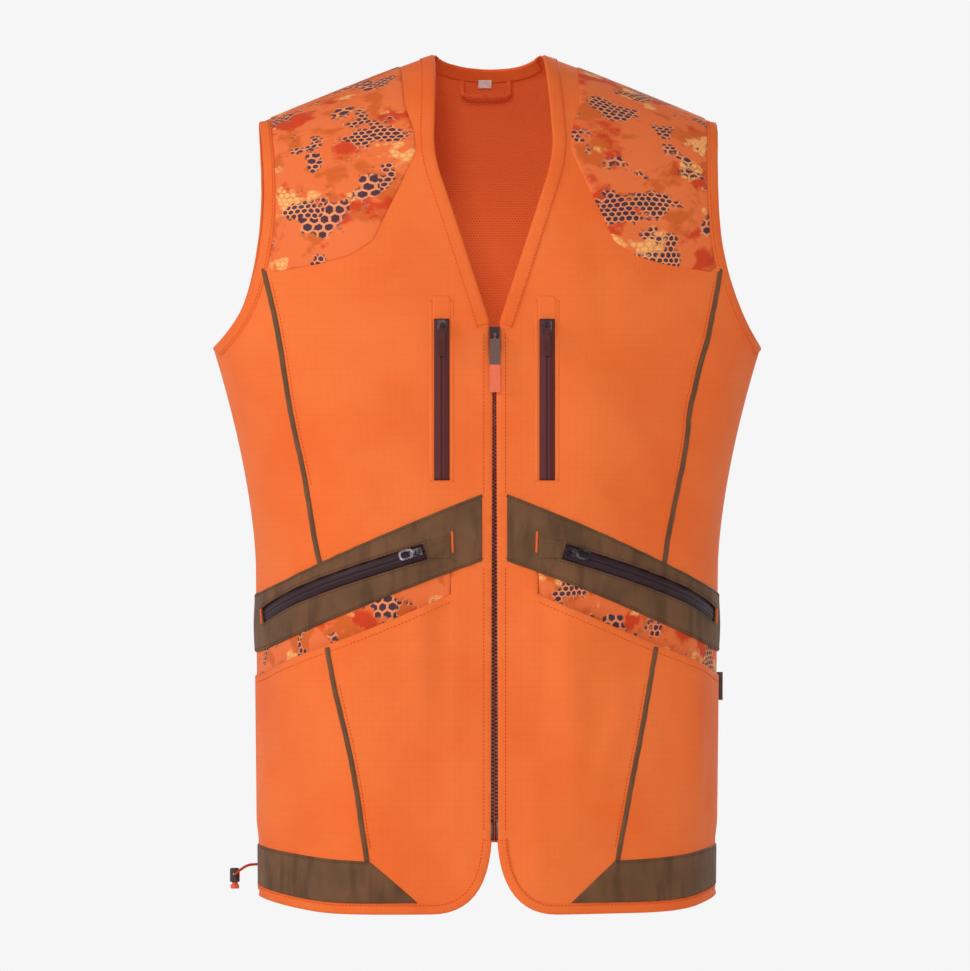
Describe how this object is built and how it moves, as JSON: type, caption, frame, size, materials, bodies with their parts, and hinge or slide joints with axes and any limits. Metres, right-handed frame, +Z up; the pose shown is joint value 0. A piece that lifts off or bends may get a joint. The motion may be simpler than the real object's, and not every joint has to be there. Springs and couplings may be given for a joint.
{
  "type": "hunting vest",
  "caption": "Sleeveless blaze orange hunting vest with camo shoulder patches, zipped front, chest and waist zip pockets, cargo pockets and hem cord locks.",
  "frame": {"origin": "mid-way between the two shoulder seams, at the height where the vest rests on the wearer's shoulders beside the neck", "axes": "+Z up, +X to the wearer's left, the front faces -Y"},
  "size_m": [0.4888, 0.2534, 0.7569],
  "materials": {
    "orange_shell": "matt ripstop weave",
    "lining": "matt knitted lining",
    "olive_twill": "matt twill",
    "camo": "matt print of scales and blotches in orange, brown and navy",
    "dark_zip": "woven tape with moulded teeth and a laminated face",
    "maroon_zip": "laminated zip",
    "slider_metal": "black lacquer",
    "pull": "moulded rubber and webbing",
    "cord": "braided elastic cord",
    "lock_plastic": "moulded",
    "lock_button": "moulded",
    "white_label": "woven",
    "brown_label": "woven"
  },
  "bodies": {
    "back": {"back_panel": "orange_shell", "back_hem_band": "orange_shell", "back_neck_band": "lining", "neck_label": "white_label", "side_label": "brown_label", "shoulder_panel_left": "orange_shell", "camo_shoulder_patch_left": "camo", "neck_binding_left": "orange_shell", "armhole_binding_left": "orange_shell", "shoulder_panel_right": "orange_shell", "camo_shoulder_patch_right": "camo", "neck_binding_right": "orange_shell", "armhole_binding_right": "orange_shell", "hem_cord_left": "cord", "hem_cord_right": "cord"},
    "front_left": {"front_upper_centre_left": "orange_shell", "front_upper_side_left": "orange_shell", "front_lower_centre_left": "orange_shell", "front_lower_side_left": "orange_shell", "upper_piping_left": "olive_twill", "lower_piping_left": "olive_twill", "hem_corner_panel_left": "olive_twill", "front_hem_band_left": "orange_shell", "waist_pocket_panel_left": "olive_twill", "waist_zip_left": "dark_zip", "waist_pocket_bag_left": "lining", "cargo_pocket_facing_left": "camo", "chest_zip_left": "maroon_zip", "chest_pocket_bag_left": "lining", "main_zip_tape_left": "dark_zip"},
    "chest_slider_left": {"chest_slider_left": "slider_metal"},
    "chest_pull_left": {"chest_pull_left": "pull"},
    "waist_slider_left": {"waist_slider_left": "slider_metal"},
    "waist_pull_left": {"waist_pull_left": "pull"},
    "cord_lock_left": {"cord_lock_body_left": "lock_plastic"},
    "cord_lock_button_left": {"cord_lock_button_left": "lock_button"},
    "front_right": {"front_upper_centre_right": "orange_shell", "front_upper_side_right": "orange_shell", "front_lower_centre_right": "orange_shell", "front_lower_side_right": "orange_shell", "upper_piping_right": "olive_twill", "lower_piping_right": "olive_twill", "hem_corner_panel_right": "olive_twill", "front_hem_band_right": "orange_shell", "waist_pocket_panel_right": "olive_twill", "waist_zip_right": "dark_zip", "waist_pocket_bag_right": "lining", "cargo_pocket_facing_right": "camo", "chest_zip_right": "maroon_zip", "chest_pocket_bag_right": "lining", "main_zip_tape_right": "dark_zip"},
    "chest_slider_right": {"chest_slider_right": "slider_metal"},
    "chest_pull_right": {"chest_pull_right": "pull"},
    "waist_slider_right": {"waist_slider_right": "slider_metal"},
    "waist_pull_right": {"waist_pull_right": "pull"},
    "cord_lock_right": {"cord_lock_body_right": "lock_plastic"},
    "cord_lock_button_right": {"cord_lock_button_right": "lock_button"},
    "main_slider": {"main_slider": "slider_metal"},
    "main_pull": {"main_pull": "pull"},
    "hanger_loop": {"hanger_loop": "lining"}
  },
  "joints": [
    {"name": "front_left_swing", "type": "hinge", "parent": "back", "child": "front_left", "pos_m": [0.2436, 0.017, -0.4], "axis": [0, 0, 1], "range_deg": [0, 30]},
    {"name": "front_right_swing", "type": "hinge", "parent": "back", "child": "front_right", "pos_m": [-0.2436, 0.017, -0.4], "axis": [0, 0, -1], "range_deg": [0, 30]},
    {"name": "main_zip_travel", "type": "slide", "parent": "front_left", "child": "main_slider", "axis": [0, 0, -1], "range_m": [0, 0.41]},
    {"name": "main_pull_flip", "type": "hinge", "parent": "main_slider", "child": "main_pull", "pos_m": [0, -0.133, -0.23522], "axis": [-1, 0, 0], "range_deg": [0, 170]},
    {"name": "chest_zip_travel_left", "type": "slide", "parent": "front_left", "child": "chest_slider_left", "axis": [0, 0, -1], "range_m": [0, 0.125]},
    {"name": "chest_pull_flip_left", "type": "hinge", "parent": "chest_slider_left", "child": "chest_pull_left", "pos_m": [0.046, -0.1329, -0.22656], "axis": [-1, 0, 0], "range_deg": [0, 170]},
    {"name": "waist_zip_travel_left", "type": "hinge", "parent": "front_left", "child": "waist_slider_left", "pos_m": [0.04706, 0.03625, -0.4544], "axis": [0.2541, 0.201, 0.946], "range_deg": [0, 58]},
    {"name": "waist_pull_flip_left", "type": "hinge", "parent": "waist_slider_left", "child": "waist_pull_left", "pos_m": [0.06804, -0.13293, -0.42409], "axis": [-0.2541, -0.201, -0.946], "range_deg": [0, 150]},
    {"name": "chest_zip_travel_right", "type": "slide", "parent": "front_right", "child": "chest_slider_right", "axis": [0, 0, -1], "range_m": [0, 0.125]},
    {"name": "chest_pull_flip_right", "type": "hinge", "parent": "chest_slider_right", "child": "chest_pull_right", "pos_m": [-0.046, -0.1329, -0.22656], "axis": [-1, 0, 0], "range_deg": [0, 170]},
    {"name": "waist_zip_travel_right", "type": "hinge", "parent": "front_right", "child": "waist_slider_right", "pos_m": [-0.04706, 0.03625, -0.4544], "axis": [0.2541, -0.201, -0.946], "range_deg": [0, 58]},
    {"name": "waist_pull_flip_right", "type": "hinge", "parent": "waist_slider_right", "child": "waist_pull_right", "pos_m": [-0.06804, -0.13293, -0.42409], "axis": [-0.2541, 0.201, 0.946], "range_deg": [0, 150]},
    {"name": "hanger_loop_swing", "type": "hinge", "parent": "back", "child": "hanger_loop", "pos_m": [0, 0.05052, -0.00352], "axis": [-1, 0, 0], "range_deg": [0, 110]},
    {"name": "cord_lock_travel_right", "type": "slide", "parent": "back", "child": "cord_lock_right", "axis": [0, 1, 0], "range_m": [-0.003, 0.003]},
    {"name": "cord_lock_press_right", "type": "slide", "parent": "cord_lock_right", "child": "cord_lock_button_right", "axis": [0, 0, 1], "range_m": [0, 0.002], "stiffness_N_per_m": 150, "springref_m": -0.001},
    {"name": "cord_lock_travel_left", "type": "slide", "parent": "back", "child": "cord_lock_left", "axis": [-0.7071, 0.7071, 0], "range_m": [-0.003, 0.003]},
    {"name": "cord_lock_press_left", "type": "slide", "parent": "cord_lock_left", "child": "cord_lock_button_left", "axis": [0, 0, 1], "range_m": [0, 0.002], "stiffness_N_per_m": 150, "springref_m": -0.001}
  ]
}
